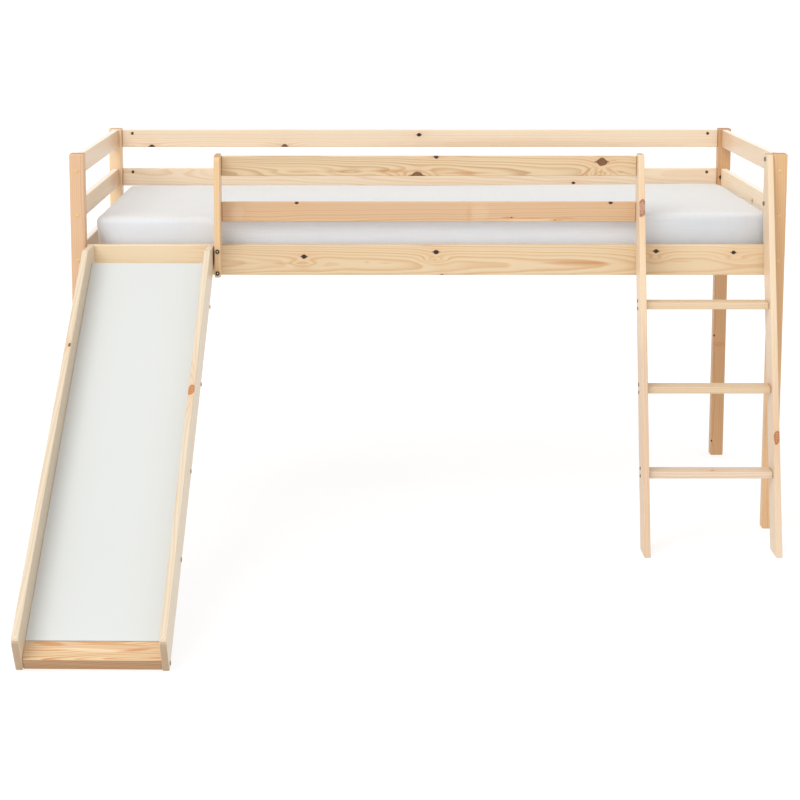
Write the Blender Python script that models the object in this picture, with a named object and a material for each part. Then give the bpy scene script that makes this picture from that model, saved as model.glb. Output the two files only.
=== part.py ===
"""A half-high loft bed in pine, with a mattress, a guard, a ladder and a slide.

Places are bed coordinates in metres: X runs along the bed from the left posts' outer faces, Y runs
back from the front posts' front faces, and Z runs up from the floor. One empty shifts the whole
bed, so that the world's origin lies on the floor under the middle of its bounding box.
"""

import math

import bmesh
import bpy
from mathutils import Vector

# Shared by all pieces
FIT = 0.0003
OVERRUN = 0.004
ROUND_SIDES = 12
ARC_STEPS = 6
EDGE_STEPS = 2
SMOOTH_UNDER = math.radians(50)
ROUND_OVER = math.radians(40)

# Posts and rails
BED_LENGTH = 2.096
BED_DEPTH = 0.991
POST_SIDE = 0.043
POST_HEIGHT = 1.126
POST_ROUNDING = 0.004
BOARD_THICKNESS = 0.020
BOARD_ROUNDING = 0.003
WIDE_BOARD = 0.090
NARROW_BOARD = 0.059
TOP_RAIL_DROP = 0.0045
UPPER_RAIL_PITCH = 0.1305
SIDE_RAIL_PITCH = 0.134

# Slats and the ledgers that carry them
LEDGER_THICKNESS = 0.020
LEDGER_HEIGHT = 0.030
SLAT_THICKNESS = 0.018
SLAT_WIDTH = 0.090
SLAT_COUNT = 12
SLAT_END_MARGIN = 0.010
SLAT_ROUNDING = 0.002

# Mattress
MATTRESS_END_ROOM = 0.017
MATTRESS_SIDE_ROOM = 0.0025
MATTRESS_EDGE_HEIGHT = 0.114
MATTRESS_CROWN = 0.007
MATTRESS_CORNER_RADIUS = 0.060
MATTRESS_EDGE_RADIUS = 0.020
MATTRESS_DRAW_IN = 0.004
MATTRESS_WAIST = 0.003
MATTRESS_CORNER_STEPS = 5
MATTRESS_LONG_STEPS = 8
MATTRESS_SHORT_STEPS = 4
MATTRESS_EDGE_STEPS = 3
MATTRESS_CROWN_SHARES = (0.9, 0.7, 0.4)

# Guard along the front
GUARD_THICKNESS = 0.018
GUARD_REACH = 0.042
GUARD_TOP_DROP = 0.002
GUARD_SLIDE_ROOM = 0.0038
GUARD_CORNER_RADIUS = 0.018
GUARD_BOARD_THICKNESS = 0.020
GUARD_BOARD_DROP = 0.0065
GUARD_BOARD_PITCH = 0.1355

# Ladder
LADDER_WIDTH = 0.3935
LADDER_THICKNESS = 0.018
LADDER_BOARD = 0.090
LADDER_ANGLE = math.radians(15.4)
LADDER_SEAT_DROP = 0.019
RUNG_THICKNESS = 0.020
RUNG_DEPTH = 0.062
RUNG_SET_BACK = 0.020
RUNG_COUNT = 3
FIRST_RUNG_TOP = 0.2314
TOP_RUNG_DROP = 0.1546

# Slide, which stands a little askew of the bed
SLIDE_POST_ROOM = 0.007
SLIDE_TURN = math.radians(1.06)
SLIDE_ANGLE = math.radians(32.24)
SLIDE_WIDTH = 0.370
SLIDE_THICKNESS = 0.018
SLIDE_BOARD = 0.110
SLIDE_LEVEL_CUT = 0.120
SLIDE_FOOT_FLAT = 0.004
SLIDE_CORNER_RADIUS = 0.022
PANEL_SINK = 0.074
PANEL_THICKNESS = 0.004
PANEL_ROUNDING = 0.001
PANEL_LEAD = 0.031
PANEL_LAP = 0.015
FOOT_BOARD_SINK = 0.076
FOOT_BOARD_SHOWN = 0.0587
FOOT_BOARD_LIFT = 0.0023
BATTEN_WIDTH = 0.045
BATTEN_THICKNESS = 0.020
BATTEN_FIRST_DOWN = 0.116
BATTEN_OVER_FOOT = 0.335
BATTEN_SHARES = (0, 0.334, 0.686, 1)

# Wooden plugs over the bolts in the front posts
PLUG_RADIUS = 0.0065
PLUG_DOME = 0.0025
PLUG_SPIGOT_RADIUS = 0.004
PLUG_SPIGOT_LENGTH = 0.010
PLUG_RISE = 0.013

# Bolts and cross-dowel nuts
BOLT_HEAD_RADIUS = 0.0062
BOLT_HEAD_HEIGHT = 0.004
BOLT_SHANK_RADIUS = 0.003
BOLT_SOCKET_RADIUS = 0.0025
BOLT_SOCKET_DEPTH = 0.0025
BOLT_GRIP = 0.015
BOLT_DROP = 0.0125
GUARD_BOLT_MARGIN = 0.013
NUT_RADIUS = 0.005
NUT_LENGTH = 0.014
NUT_FROM_POST = 0.035

# Places that follow from the sizes above
RAIL_FRONT = (POST_SIDE - BOARD_THICKNESS) / 2
RAIL_BACK = RAIL_FRONT + BOARD_THICKNESS
TOP_RAIL_TOP = POST_HEIGHT - TOP_RAIL_DROP
MIDDLE_RAIL_TOP = TOP_RAIL_TOP - UPPER_RAIL_PITCH
SIDE_RAIL_TOP = MIDDLE_RAIL_TOP - SIDE_RAIL_PITCH
SIDE_RAIL_BOTTOM = SIDE_RAIL_TOP - WIDE_BOARD
LEDGER_TOP = SIDE_RAIL_BOTTOM + LEDGER_HEIGHT
SLAT_TOP = LEDGER_TOP + FIT + SLAT_THICKNESS
MATTRESS_LENGTH = BED_LENGTH - 2 * (POST_SIDE + MATTRESS_END_ROOM)
MATTRESS_WIDTH = BED_DEPTH - 2 * (POST_SIDE + MATTRESS_SIDE_ROOM)
SLIDE_LEFT = POST_SIDE + SLIDE_POST_ROOM
GUARD_TOP = POST_HEIGHT - GUARD_TOP_DROP
GUARD_LEFT = SLIDE_LEFT + SLIDE_WIDTH + GUARD_SLIDE_ROOM
GUARD_RIGHT = GUARD_LEFT + GUARD_THICKNESS
GUARD_BACK = POST_SIDE
LADDER_RIGHT = BED_LENGTH - POST_SIDE - FIT
LADDER_LEFT = LADDER_RIGHT - LADDER_WIDTH
RAIL_SEAT = SIDE_RAIL_TOP + FIT


def material(name, color, roughness, metallic=0.0):
    """A Principled material with one colour."""
    made = bpy.data.materials.new(name)
    made.use_nodes = True
    shader = made.node_tree.nodes["Principled BSDF"]
    shader.inputs["Base Color"].default_value = (*color, 1.0)
    shader.inputs["Roughness"].default_value = roughness
    shader.inputs["Metallic"].default_value = metallic
    return made


def add_object(name, bm, finish, parent, place=(0, 0, 0)):
    """Turns the bmesh into an object at a place under its parent."""
    bmesh.ops.recalc_face_normals(bm, faces=bm.faces)
    mesh = bpy.data.meshes.new(name)
    bm.to_mesh(mesh)
    bm.free()
    mesh.materials.append(finish)
    mesh.shade_smooth()
    mesh.set_sharp_from_angle(angle=SMOOTH_UNDER)
    made = bpy.data.objects.new(name, mesh)
    bpy.context.scene.collection.objects.link(made)
    made.parent = parent
    made.location = place
    return made


def add_empty(name, place, turn=0.0, parent=None):
    """An empty that carries pieces."""
    made = bpy.data.objects.new(name, None)
    bpy.context.scene.collection.objects.link(made)
    made.parent = parent
    made.location = place
    made.rotation_euler = (0, 0, turn)
    return made


def round_edges(piece, width):
    """Rounds the sharp edges of a piece with a bevel."""
    bevel = piece.modifiers.new("rounding", "BEVEL")
    bevel.width = width
    bevel.segments = EDGE_STEPS
    bevel.limit_method = "ANGLE"
    bevel.angle_limit = ROUND_OVER


def board(name, low, high, finish, parent, rounding=BOARD_ROUNDING):
    """A straight board between two corners, with its origin at its middle."""
    low = Vector(low)
    high = Vector(high)
    bm = bmesh.new()
    bmesh.ops.create_cube(bm, size=1)
    bmesh.ops.scale(bm, vec=high - low, verts=bm.verts)
    made = add_object(name, bm, finish, parent, (low + high) / 2)
    round_edges(made, rounding)
    return made


def plate(name, outline, left, right, finish, parent, rounding=BOARD_ROUNDING):
    """A board cut to an outline of (Y, Z) points, from one X to another."""
    bm = bmesh.new()
    corners = [bm.verts.new((left, y, z)) for y, z in outline]
    face = bm.faces.new(corners)
    swept = bmesh.ops.extrude_face_region(bm, geom=[face])["geom"]
    moved = [item for item in swept if isinstance(item, bmesh.types.BMVert)]
    bmesh.ops.translate(bm, vec=(right - left, 0, 0), verts=moved)
    made = add_object(name, bm, finish, parent)
    round_edges(made, rounding)
    return made


def arc(center, radius, first, last, steps=ARC_STEPS):
    """Points of an arc about a center, from one angle to another."""
    angles = [first + (last - first) * step / steps for step in range(steps + 1)]
    return [(center[0] + radius * math.cos(a), center[1] + radius * math.sin(a)) for a in angles]


def turned(name, profile, place, outward, finish, parent, sides=ROUND_SIDES):
    """A turned piece from (radius, height) points, with its height along the outward direction."""
    bm = bmesh.new()
    rings = []
    for radius, height in profile:
        spots = arc((0, 0), radius, 0, math.tau, sides)[:-1]
        rings.append([bm.verts.new((x, y, height)) for x, y in spots])
    for lower, upper in zip(rings, rings[1:]):
        for side in range(sides):
            after = (side + 1) % sides
            bm.faces.new((lower[side], lower[after], upper[after], upper[side]))
    bm.faces.new(rings[0])
    bm.faces.new(rings[-1])
    made = add_object(name, bm, finish, parent, place)
    made.rotation_euler = Vector(outward).to_track_quat("Z", "Y").to_euler()
    return made


def bore(piece, place, outward, radius, depth):
    """Drills a blind or open round hole into a piece from a point on its face."""
    wall = radius + FIT
    profile = [(wall, -depth), (wall, OVERRUN)]
    name = "cutter_" + piece.name
    cutter = turned(name, profile, place, outward, piece.data.materials[0], piece.parent)
    cutter.hide_render = True
    cutter.display_type = "WIRE"
    cut = piece.modifiers.new("bore", "BOOLEAN")
    cut.operation = "DIFFERENCE"
    cut.solver = "EXACT"
    cut.object = cutter


def bolt(name, place, outward, shank, finish, parent):
    """A socket-head bolt whose head sits on the face at its place."""
    profile = [
        (BOLT_SHANK_RADIUS, -shank),
        (BOLT_SHANK_RADIUS, FIT),
        (BOLT_HEAD_RADIUS, FIT),
        (BOLT_HEAD_RADIUS, BOLT_HEAD_HEIGHT),
        (BOLT_SOCKET_RADIUS, BOLT_HEAD_HEIGHT),
        (BOLT_SOCKET_RADIUS, BOLT_HEAD_HEIGHT - BOLT_SOCKET_DEPTH),
    ]
    return turned(name, profile, place, outward, finish, parent)


def add_posts(finish, root):
    """Four square posts, by the names of their corners."""
    posts = {}
    for depth_name, front in (("front", 0), ("back", BED_DEPTH - POST_SIDE)):
        for side_name, left in (("left", 0), ("right", BED_LENGTH - POST_SIDE)):
            low = (left, front, 0)
            high = (left + POST_SIDE, front + POST_SIDE, POST_HEIGHT)
            name = f"post_{depth_name}_{side_name}"
            posts[depth_name, side_name] = board(name, low, high, finish, root, POST_ROUNDING)
    return posts


def add_long_rails(finish, root):
    """One rail along the front and three along the back, between the posts."""
    back = BED_DEPTH - POST_SIDE
    rows = (
        ("rail_front", 0, SIDE_RAIL_TOP, WIDE_BOARD),
        ("rail_back_lower", back, SIDE_RAIL_TOP, WIDE_BOARD),
        ("rail_back_middle", back, MIDDLE_RAIL_TOP, NARROW_BOARD),
        ("rail_back_top", back, TOP_RAIL_TOP, NARROW_BOARD),
    )
    rails = {}
    for name, post_front, top, width in rows:
        low = (POST_SIDE + FIT, post_front + RAIL_FRONT, top - width)
        high = (BED_LENGTH - POST_SIDE - FIT, post_front + RAIL_BACK, top)
        rails[name] = board(name, low, high, finish, root)
    return rails


def add_end_rails(finish, root):
    """Three rails across each end, between the posts."""
    rows = (
        ("lower", SIDE_RAIL_TOP, WIDE_BOARD),
        ("middle", MIDDLE_RAIL_TOP, NARROW_BOARD),
        ("top", TOP_RAIL_TOP, NARROW_BOARD),
    )
    for side_name, post_left in (("left", 0), ("right", BED_LENGTH - POST_SIDE)):
        for level, top, width in rows:
            low = (post_left + RAIL_FRONT, POST_SIDE + FIT, top - width)
            high = (post_left + RAIL_BACK, BED_DEPTH - POST_SIDE - FIT, top)
            board(f"end_rail_{side_name}_{level}", low, high, finish, root)


def add_ledgers(finish, root):
    """A strip inside each long side rail, under the slats' ends."""
    front_low = RAIL_BACK + FIT
    back_low = BED_DEPTH - front_low - LEDGER_THICKNESS
    for name, front in (("ledger_front", front_low), ("ledger_back", back_low)):
        low = (POST_SIDE + FIT, front, SIDE_RAIL_BOTTOM)
        high = (BED_LENGTH - POST_SIDE - FIT, front + LEDGER_THICKNESS, LEDGER_TOP)
        board(name, low, high, finish, root, SLAT_ROUNDING)


def add_slats(finish, root):
    """Slats across the bed, spread evenly between the posts."""
    first = POST_SIDE + SLAT_END_MARGIN
    last = BED_LENGTH - first - SLAT_WIDTH
    front = RAIL_BACK + FIT
    for index in range(SLAT_COUNT):
        left = first + (last - first) * index / (SLAT_COUNT - 1)
        low = (left, front, LEDGER_TOP + FIT)
        high = (left + SLAT_WIDTH, BED_DEPTH - front, SLAT_TOP)
        board(f"slat_{index + 1:02d}", low, high, finish, root, SLAT_ROUNDING)


def mattress_outline(inset):
    """The mattress's plan, centered: round corners, and sides that pull in between them."""
    half_length = MATTRESS_LENGTH / 2 - inset
    half_width = MATTRESS_WIDTH / 2 - inset
    radius = MATTRESS_CORNER_RADIUS - inset
    across = half_width - radius
    along = half_length - radius
    quarter = math.pi / 2
    spots = []
    for turn, (x_sign, y_sign) in enumerate(((1, 1), (-1, 1), (-1, -1), (1, -1))):
        center = (x_sign * along, y_sign * across)
        first = turn * quarter
        spots += arc(center, radius, first, first + quarter, MATTRESS_CORNER_STEPS)
        steps = MATTRESS_LONG_STEPS if turn % 2 == 0 else MATTRESS_SHORT_STEPS
        for step in range(1, steps):
            share = step / steps
            pull = MATTRESS_DRAW_IN * math.sin(math.pi * share)
            if turn % 2 == 0:
                spots.append((x_sign * along * (1 - 2 * share), y_sign * (half_width - pull)))
            else:
                spots.append((x_sign * (half_length - pull), y_sign * across * (1 - 2 * share)))
    return spots


def mattress_rings():
    """(inset, height) of the rings up the mattress's side, with both edges rounded."""
    quarter = math.pi / 2
    rings = []
    for step in range(MATTRESS_EDGE_STEPS + 1):
        angle = quarter * step / MATTRESS_EDGE_STEPS
        inset = MATTRESS_EDGE_RADIUS * (1 - math.sin(angle))
        height = MATTRESS_EDGE_RADIUS * (1 - math.cos(angle))
        rings.append((inset, height))
    upper = [(inset, MATTRESS_EDGE_HEIGHT - height) for inset, height in reversed(rings)]
    return rings + [(MATTRESS_WAIST, MATTRESS_EDGE_HEIGHT / 2)] + upper


def add_mattress(finish, root):
    """A closed pad with round edges and a low crown, lying on the slats."""
    bm = bmesh.new()
    rings = []
    for inset, height in mattress_rings():
        rings.append([bm.verts.new((x, y, height)) for x, y in mattress_outline(inset)])
    rim = [vert.co.copy() for vert in rings[-1]]
    for share in MATTRESS_CROWN_SHARES:
        height = MATTRESS_EDGE_HEIGHT + MATTRESS_CROWN * (1 - share**2)
        rings.append([bm.verts.new((share * v.x, share * v.y, height)) for v in rim])
    for lower, upper in zip(rings, rings[1:]):
        for index in range(len(lower)):
            after = (index + 1) % len(lower)
            bm.faces.new((lower[index], lower[after], upper[after], upper[index]))
    bm.faces.new(rings[0])
    middle = bm.verts.new((0, 0, MATTRESS_EDGE_HEIGHT + MATTRESS_CROWN))
    for index in range(len(rim)):
        after = (index + 1) % len(rim)
        bm.faces.new((rings[-1][index], rings[-1][after], middle))
    add_object("mattress", bm, finish, root, (BED_LENGTH / 2, BED_DEPTH / 2, SLAT_TOP + FIT))


def add_guard(wood, metal, front_rail, root):
    """An upright bolted to the front rail, and two boards from it to the ladder."""
    radius = GUARD_CORNER_RADIUS
    front = -GUARD_REACH
    seat = RAIL_FRONT - FIT
    corner = arc((front + radius, GUARD_TOP - radius), radius, math.pi / 2, math.pi)
    outline = [
        (front, SIDE_RAIL_BOTTOM),
        (seat, SIDE_RAIL_BOTTOM),
        (seat, RAIL_SEAT),
        (GUARD_BACK, RAIL_SEAT),
        (GUARD_BACK, GUARD_TOP),
    ]
    upright = plate("guard_upright", outline + corner, GUARD_LEFT, GUARD_RIGHT, wood, root)
    middle = (GUARD_LEFT + GUARD_RIGHT) / 2
    through = seat - front
    heights = (
        ("upper", SIDE_RAIL_TOP - GUARD_BOLT_MARGIN),
        ("lower", SIDE_RAIL_BOTTOM + GUARD_BOLT_MARGIN),
    )
    for level, height in heights:
        shank = through + FIT + BOLT_GRIP
        place = (middle, front, height)
        bolt(f"guard_bolt_{level}", place, (0, -1, 0), shank, metal, root)
        bore(upright, place, (0, -1, 0), BOLT_SHANK_RADIUS, through + OVERRUN)
        rail_place = (middle, RAIL_FRONT, height)
        bore(front_rail, rail_place, (0, -1, 0), BOLT_SHANK_RADIUS, BOLT_GRIP + FIT)
    for index, level in enumerate(("upper", "lower")):
        top = GUARD_TOP - GUARD_BOARD_DROP - index * GUARD_BOARD_PITCH
        low = (GUARD_RIGHT + FIT, GUARD_BACK - GUARD_BOARD_THICKNESS, top - NARROW_BOARD)
        high = (LADDER_LEFT - FIT, GUARD_BACK, top)
        board(f"guard_board_{level}", low, high, wood, root)


def ladder_back_foot():
    """Where a ladder rail's back edge meets the floor, as it leans on the front rail."""
    seat = RAIL_FRONT - FIT
    return seat - math.tan(LADDER_ANGLE) * (SIDE_RAIL_TOP - LADDER_SEAT_DROP)


def ladder_front_foot():
    """Where a ladder rail's front edge meets the floor."""
    return ladder_back_foot() - LADDER_BOARD / math.cos(LADDER_ANGLE)


def ladder_outline():
    """A leaning rail, notched over the front rail, that ends beside the post."""
    lean = math.tan(LADDER_ANGLE)
    front_foot = ladder_front_foot()
    back_foot = ladder_back_foot()
    seat = RAIL_FRONT - FIT
    return [
        (front_foot, 0),
        (back_foot, 0),
        (seat, (seat - back_foot) / lean),
        (seat, RAIL_SEAT),
        (back_foot + lean * RAIL_SEAT, RAIL_SEAT),
        (GUARD_BACK, (GUARD_BACK - back_foot) / lean),
        (GUARD_BACK, GUARD_TOP),
        (front_foot + lean * GUARD_TOP, GUARD_TOP),
    ]


def add_ladder(wood, metal, post, root):
    """Two leaning rails and three level rungs, bolted to the right front post."""
    left_inner = LADDER_LEFT + LADDER_THICKNESS
    right_inner = LADDER_RIGHT - LADDER_THICKNESS
    outline = ladder_outline()
    plate("ladder_rail_left", outline, LADDER_LEFT, left_inner, wood, root)
    right = plate("ladder_rail_right", outline, right_inner, LADDER_RIGHT, wood, root)
    pitch = (SIDE_RAIL_TOP - TOP_RUNG_DROP - FIRST_RUNG_TOP) / (RUNG_COUNT - 1)
    for index in range(RUNG_COUNT):
        top = FIRST_RUNG_TOP + index * pitch
        rail_edge = ladder_front_foot() + math.tan(LADDER_ANGLE) * top
        front = rail_edge + RUNG_SET_BACK
        low = (left_inner + FIT, front, top - RUNG_THICKNESS)
        high = (right_inner - FIT, front + RUNG_DEPTH, top)
        board(f"rung_{index + 1}", low, high, wood, root)
    for level, rail_top in (("upper", TOP_RAIL_TOP), ("lower", MIDDLE_RAIL_TOP)):
        place = (right_inner, POST_SIDE / 2, rail_top - BOLT_DROP)
        post_place = (BED_LENGTH - POST_SIDE, POST_SIDE / 2, rail_top - BOLT_DROP)
        shank = LADDER_THICKNESS + FIT + BOLT_GRIP
        bolt(f"ladder_bolt_{level}", place, (-1, 0, 0), shank, metal, root)
        bore(right, place, (-1, 0, 0), BOLT_SHANK_RADIUS, LADDER_THICKNESS + OVERRUN)
        bore(post, post_place, (-1, 0, 0), BOLT_SHANK_RADIUS, BOLT_GRIP + FIT)


def slope_point(down, up):
    """(Y, Z) in the slide's own frame, down the slope from where its level cut starts."""
    y = -SLIDE_LEVEL_CUT - down * math.cos(SLIDE_ANGLE) - up * math.sin(SLIDE_ANGLE)
    z = SIDE_RAIL_TOP - down * math.sin(SLIDE_ANGLE) + up * math.cos(SLIDE_ANGLE)
    return (y, z)


def slide_floor_down():
    """How far down the slope the rails' lower edges meet the floor."""
    drop = SIDE_RAIL_TOP - SLIDE_BOARD * math.cos(SLIDE_ANGLE)
    return drop / math.sin(SLIDE_ANGLE)


def slide_end_down():
    """How far down the slope the rails' square ends lie."""
    return slide_floor_down() + SLIDE_FOOT_FLAT * math.cos(SLIDE_ANGLE)


def slide_corner_center():
    """The center of the round corner at the foot of a slide rail."""
    return slope_point(slide_end_down() - SLIDE_CORNER_RADIUS, -SLIDE_CORNER_RADIUS)


def slide_rail_outline(back):
    """A slide rail: a level cut at the front rail, a round corner and a flat at the foot."""
    floor_y = slope_point(slide_floor_down(), -SLIDE_BOARD)[0]
    lower_edge = SIDE_RAIL_TOP - SLIDE_BOARD / math.cos(SLIDE_ANGLE)
    back_bottom = lower_edge + (SLIDE_LEVEL_CUT + back) * math.tan(SLIDE_ANGLE)
    corner_first = math.pi / 2 + SLIDE_ANGLE
    corner = arc(slide_corner_center(), SLIDE_CORNER_RADIUS, corner_first, corner_first + math.pi / 2)
    straight = [
        (back, back_bottom),
        (back, SIDE_RAIL_TOP),
        slope_point(0, 0),
    ]
    return straight + corner + [(floor_y - SLIDE_FOOT_FLAT, 0), (floor_y, 0)]


def add_slide(wood, laminate, slide):
    """Two rails, a thin panel on battens, and a board at the foot."""
    inner_left = SLIDE_THICKNESS
    inner_right = SLIDE_WIDTH - SLIDE_THICKNESS
    sides = (("left", 0, inner_left), ("right", inner_right, SLIDE_WIDTH))
    for name, left, right in sides:
        back = left * math.tan(SLIDE_TURN) - FIT
        plate(f"slide_rail_{name}", slide_rail_outline(back), left, right, wood, slide)
    left = inner_left + FIT
    right = inner_right - FIT

    foot_end = slide_floor_down() - FOOT_BOARD_LIFT
    panel_end = foot_end - FOOT_BOARD_SHOWN
    panel_under = -PANEL_SINK - PANEL_THICKNESS
    panel = [
        slope_point(-PANEL_LEAD, -PANEL_SINK),
        slope_point(panel_end, -PANEL_SINK),
        slope_point(panel_end, panel_under),
        slope_point(-PANEL_LEAD, panel_under),
    ]
    plate("slide_panel", panel, left, right, laminate, slide, PANEL_ROUNDING)

    foot_board = [
        slope_point(panel_end - PANEL_LAP, -SLIDE_BOARD),
        slope_point(panel_end - PANEL_LAP, panel_under - FIT),
        slope_point(panel_end + FIT, panel_under - FIT),
        slope_point(panel_end + FIT, -FOOT_BOARD_SINK),
        slope_point(foot_end, -FOOT_BOARD_SINK),
        slope_point(foot_end, -SLIDE_BOARD),
    ]
    plate("slide_foot_board", foot_board, left, right, wood, slide, PANEL_ROUNDING)

    top = panel_under - FIT
    run = foot_end - BATTEN_OVER_FOOT - BATTEN_FIRST_DOWN
    for index, share in enumerate(BATTEN_SHARES):
        start = BATTEN_FIRST_DOWN + run * share - BATTEN_WIDTH / 2
        batten = [
            slope_point(start, top),
            slope_point(start + BATTEN_WIDTH, top),
            slope_point(start + BATTEN_WIDTH, top - BATTEN_THICKNESS),
            slope_point(start, top - BATTEN_THICKNESS),
        ]
        plate(f"slide_batten_{index + 1}", batten, left, right, wood, slide, SLAT_ROUNDING)


def add_plugs(finish, posts, root):
    """Round wooden plugs on the front posts, over the bolts that hold the end rails."""
    dome = arc((0, -PLUG_RADIUS + PLUG_DOME), PLUG_RADIUS, 0, math.pi / 2)
    profile = [
        (PLUG_SPIGOT_RADIUS, -PLUG_SPIGOT_LENGTH),
        (PLUG_SPIGOT_RADIUS, FIT),
        (PLUG_RADIUS, FIT),
    ]
    profile += [(radius, height) for radius, height in dome[:-1] if height > FIT]
    heights = (
        ("lower", SIDE_RAIL_BOTTOM + WIDE_BOARD / 2),
        ("middle", MIDDLE_RAIL_TOP - NARROW_BOARD + PLUG_RISE),
        ("top", TOP_RAIL_TOP - NARROW_BOARD + PLUG_RISE),
    )
    sides = (("left", POST_SIDE / 2), ("right", BED_LENGTH - POST_SIDE / 2))
    for side_name, middle in sides:
        for level, height in heights:
            place = (middle, 0, height)
            turned(f"plug_{side_name}_{level}", profile, place, (0, -1, 0), finish, root)
            post = posts["front", side_name]
            bore(post, place, (0, -1, 0), PLUG_SPIGOT_RADIUS, PLUG_SPIGOT_LENGTH + FIT)


def add_barrel_nuts(finish, rails, root):
    """Cross-dowel nuts in the back rails, near each post."""
    face = BED_DEPTH - POST_SIDE + RAIL_FRONT
    rows = (
        ("top", rails["rail_back_top"], TOP_RAIL_TOP),
        ("middle", rails["rail_back_middle"], MIDDLE_RAIL_TOP),
    )
    inner = POST_SIDE + NUT_FROM_POST
    for level, rail, rail_top in rows:
        for side_name, x in (("left", inner), ("right", BED_LENGTH - inner)):
            place = (x, face, rail_top - BOLT_DROP)
            profile = [(NUT_RADIUS, -NUT_LENGTH), (NUT_RADIUS, -FIT)]
            turned(f"barrel_nut_{side_name}_{level}", profile, place, (0, -1, 0), finish, root)
            bore(rail, place, (0, -1, 0), NUT_RADIUS, NUT_LENGTH + FIT)


def front_reach():
    """The slide's furthest reach ahead of the front posts."""
    corner = slide_corner_center()[0] - SLIDE_CORNER_RADIUS
    right_edge = SLIDE_WIDTH - BOARD_ROUNDING
    return -(RAIL_FRONT + corner * math.cos(SLIDE_TURN) - right_edge * math.sin(SLIDE_TURN))


def main():
    for old in list(bpy.data.objects):
        bpy.data.objects.remove(old, do_unlink=True)

    pine = material("pine", (0.78, 0.56, 0.32), 0.5)
    pale_pine = material("pale_pine", (0.82, 0.64, 0.41), 0.5)
    pink_pine = material("pink_pine", (0.72, 0.45, 0.25), 0.5)
    laminate = material("laminate", (0.84, 0.84, 0.82), 0.22)
    fabric = material("fabric", (0.82, 0.81, 0.82), 0.9)
    black_metal = material("black_metal", (0.03, 0.028, 0.025), 0.35, 1.0)
    brass = material("brass", (0.30, 0.20, 0.10), 0.4, 1.0)

    middle_y = (BED_DEPTH - front_reach()) / 2
    root = add_empty("bed_origin", (-BED_LENGTH / 2, -middle_y, 0))
    slide = add_empty("slide_origin", (SLIDE_LEFT, RAIL_FRONT, 0), -SLIDE_TURN, root)

    posts = add_posts(pink_pine, root)
    rails = add_long_rails(pine, root)
    add_end_rails(pine, root)
    add_ledgers(pale_pine, root)
    add_slats(pale_pine, root)
    add_mattress(fabric, root)
    add_guard(pine, black_metal, rails["rail_front"], root)
    add_ladder(pale_pine, black_metal, posts["front", "right"], root)
    add_slide(pale_pine, laminate, slide)
    add_plugs(pale_pine, posts, root)
    add_barrel_nuts(brass, rails, root)


main()
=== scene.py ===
import math
import random
from collections import namedtuple

import bmesh
import bpy
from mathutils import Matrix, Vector, noise


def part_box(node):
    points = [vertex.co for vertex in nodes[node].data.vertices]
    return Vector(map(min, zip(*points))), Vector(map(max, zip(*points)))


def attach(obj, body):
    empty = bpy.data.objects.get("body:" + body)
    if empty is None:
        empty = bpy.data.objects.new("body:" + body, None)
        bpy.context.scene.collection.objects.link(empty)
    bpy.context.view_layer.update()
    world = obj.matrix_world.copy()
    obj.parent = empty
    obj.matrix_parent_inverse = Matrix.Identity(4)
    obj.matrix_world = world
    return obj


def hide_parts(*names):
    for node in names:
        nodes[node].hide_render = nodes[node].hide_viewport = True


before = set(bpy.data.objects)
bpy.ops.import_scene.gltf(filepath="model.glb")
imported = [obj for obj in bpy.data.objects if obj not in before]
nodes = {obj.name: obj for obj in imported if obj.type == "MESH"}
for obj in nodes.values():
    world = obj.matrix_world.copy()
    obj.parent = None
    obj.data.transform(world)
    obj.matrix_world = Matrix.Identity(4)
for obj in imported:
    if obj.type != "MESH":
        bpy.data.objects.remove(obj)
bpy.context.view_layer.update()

# Camera, in metres and degrees, for a picture of 800 by 800 pixels
CAMERA_PLACE = (-0.182, -5.878, 1.668)
CAMERA_PITCH = math.radians(8.82)
CAMERA_LENS = 93.5
CAMERA_SHIFT = (0.0425, -0.14)

# Light: the sky is brightest overhead, with a thin bright rim that fades out above the horizon
SKY_OVERHEAD = 1.20
SKY_LOW = 0.57
SKY_RIM = 0.43
SKY_RIM_FADE = (0.12, 0.02)
KEY_STRENGTH = 1.3
KEY_TURN = math.radians(-36)
KEY_TILT = math.radians(47)
KEY_SOFTNESS = math.radians(38)
FLOOR_SIZE = 400.0
FLOOR_CELLS = 8
FLOOR_GLOW = 0.73
FLOOR_TONES = (0.29, 0.31)
FLOOR_SCALES = (1.5, 1.5, 1.5)
FLOOR_ROUGH = 0.9

# The slide and the ladder slope in the YZ plane, and the slide is turned about its top left corner
LADDER_LEAN = math.radians(15.4)
SLIDE_SLOPE = math.radians(32.24)
SLIDE_TURN = math.radians(-1.06)
SLIDE_CORNER = (-0.998, 0.1764)
SLIDE_TOP = (-0.12, 0.857)
SLIDE_WIDTH = 0.370

# Directions of the bed, the ladder and the slide, and up the slope of what crosses the slide
UP = Vector((0, 0, 1))
RIGHT = Vector((1, 0, 0))
BACK = Vector((0, 1, 0))
LADDER_ALONG = Vector((0, math.sin(LADDER_LEAN), math.cos(LADDER_LEAN)))
LADDER_ACROSS = Vector((0, LADDER_ALONG.z, -LADDER_ALONG.y))
SLIDE_SIDE = Vector((math.cos(SLIDE_TURN), math.sin(SLIDE_TURN), 0))
SLIDE_BACK = Vector((-math.sin(SLIDE_TURN), math.cos(SLIDE_TURN), 0))
SLIDE_ALONG = SLIDE_BACK * math.cos(SLIDE_SLOPE) + UP * math.sin(SLIDE_SLOPE)
SLOPE = BACK * math.cos(SLIDE_SLOPE) + UP * math.sin(SLIDE_SLOPE)

# Detail and roughness of fine noise
FINE = (3.0, 0.6)


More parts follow.
